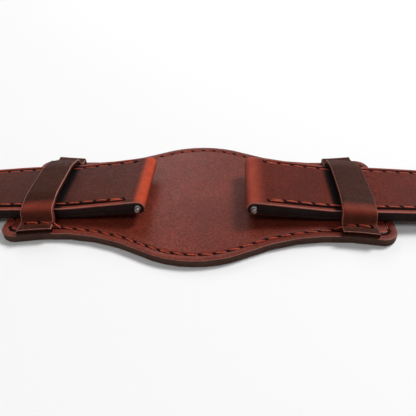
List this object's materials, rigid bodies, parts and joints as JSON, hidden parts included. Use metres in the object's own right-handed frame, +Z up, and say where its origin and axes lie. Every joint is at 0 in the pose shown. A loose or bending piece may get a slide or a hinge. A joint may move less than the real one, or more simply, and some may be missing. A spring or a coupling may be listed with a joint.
{
  "type": "bund watch strap",
  "caption": "Leather bund watch strap: two strap halves on sprung bars, held by stitched loops over a shaped pad, with a pin buckle and keepers.",
  "frame": {"origin": "centre of the pad's disc, on the pad's underside", "axes": "+X along the strap towards the tip of the tail half, the buckle half towards -X; +Y across the strap, away from the viewer; +Z up, out of the wrist side towards the watch"},
  "size_m": [0.2296, 0.0476, 0.0077],
  "materials": {
    "pad_leather": "smooth, reddish brown",
    "strap_leather": "smooth, dark reddish brown",
    "loop_leather": "smooth, dark brown",
    "lining_leather": "matt, mid brown",
    "filler_leather": "matt, painted edge",
    "steel": "bright",
    "buckle_steel": "polished"
  },
  "bodies": {
    "pad": {"pad_lining": "lining_leather", "pad_top_leather": "pad_leather", "left_loop": "loop_leather", "right_loop": "loop_leather"},
    "tail_half": {"tail_top_leather": "strap_leather", "tail_filler": "filler_leather", "tail_lining": "lining_leather"},
    "buckle_half": {"buckle_top_leather": "strap_leather", "buckle_filler": "filler_leather", "buckle_lining": "lining_leather", "fixed_keeper": "loop_leather"},
    "loose_keeper": {"loose_keeper": "loop_leather"},
    "buckle_frame": {"buckle_frame": "buckle_steel", "buckle_pin": "steel"},
    "buckle_tongue": {"buckle_tongue": "buckle_steel"},
    "right_lug_bar": {"right_lug_bar_tube": "steel", "right_lug_bar_spring": "steel"},
    "right_lug_near_plunger": {"right_lug_bar_near_plunger": "steel"},
    "right_lug_far_plunger": {"right_lug_bar_far_plunger": "steel"},
    "left_lug_bar": {"left_lug_bar_tube": "steel", "left_lug_bar_spring": "steel"},
    "left_lug_near_plunger": {"left_lug_bar_near_plunger": "steel"},
    "left_lug_far_plunger": {"left_lug_bar_far_plunger": "steel"}
  },
  "joints": [
    {"name": "tail_half_slide", "type": "slide", "parent": "pad", "child": "tail_half", "axis": [1, 0, 0], "range_m": [-0.001, 0.005]},
    {"name": "buckle_half_slide", "type": "slide", "parent": "pad", "child": "buckle_half", "axis": [-1, 0, 0], "range_m": [-0.001, 0.005]},
    {"name": "loose_keeper_slide", "type": "slide", "parent": "buckle_half", "child": "loose_keeper", "axis": [-1, 0, 0], "range_m": [-0.003, 0.0038]},
    {"name": "buckle_frame_turn", "type": "hinge", "parent": "buckle_half", "child": "buckle_frame", "pos_m": [-0.0884, -0.0008, 0.00245], "axis": [0, 1, 0], "range_deg": [-20, 50]},
    {"name": "buckle_tongue_turn", "type": "hinge", "parent": "buckle_frame", "child": "buckle_tongue", "pos_m": [-0.0884, -0.0008, 0.00245], "axis": [0, 1, 0], "range_deg": [0, 85]},
    {"name": "right_lug_bar_turn", "type": "hinge", "parent": "tail_half", "child": "right_lug_bar", "pos_m": [0.0134, -0.0008, 0.0059], "axis": [0, 1, 0], "continuous": true},
    {"name": "right_lug_near_plunger_slide", "type": "slide", "parent": "right_lug_bar", "child": "right_lug_near_plunger", "axis": [0, 1, 0], "range_m": [0, 0.0012], "stiffness_N_per_m": 600, "springref_m": -0.001, "deforming": ["right_lug_bar_spring"]},
    {"name": "right_lug_far_plunger_slide", "type": "slide", "parent": "right_lug_bar", "child": "right_lug_far_plunger", "axis": [0, -1, 0], "range_m": [0, 0.0012], "stiffness_N_per_m": 600, "springref_m": -0.001, "deforming": ["right_lug_bar_spring"]},
    {"name": "left_lug_bar_turn", "type": "hinge", "parent": "buckle_half", "child": "left_lug_bar", "pos_m": [-0.0134, -0.0008, 0.0059], "axis": [0, 1, 0], "continuous": true},
    {"name": "left_lug_near_plunger_slide", "type": "slide", "parent": "left_lug_bar", "child": "left_lug_near_plunger", "axis": [0, 1, 0], "range_m": [0, 0.0012], "stiffness_N_per_m": 600, "springref_m": -0.001, "deforming": ["left_lug_bar_spring"]},
    {"name": "left_lug_far_plunger_slide", "type": "slide", "parent": "left_lug_bar", "child": "left_lug_far_plunger", "axis": [0, -1, 0], "range_m": [0, 0.0012], "stiffness_N_per_m": 600, "springref_m": -0.001, "deforming": ["left_lug_bar_spring"]}
  ]
}
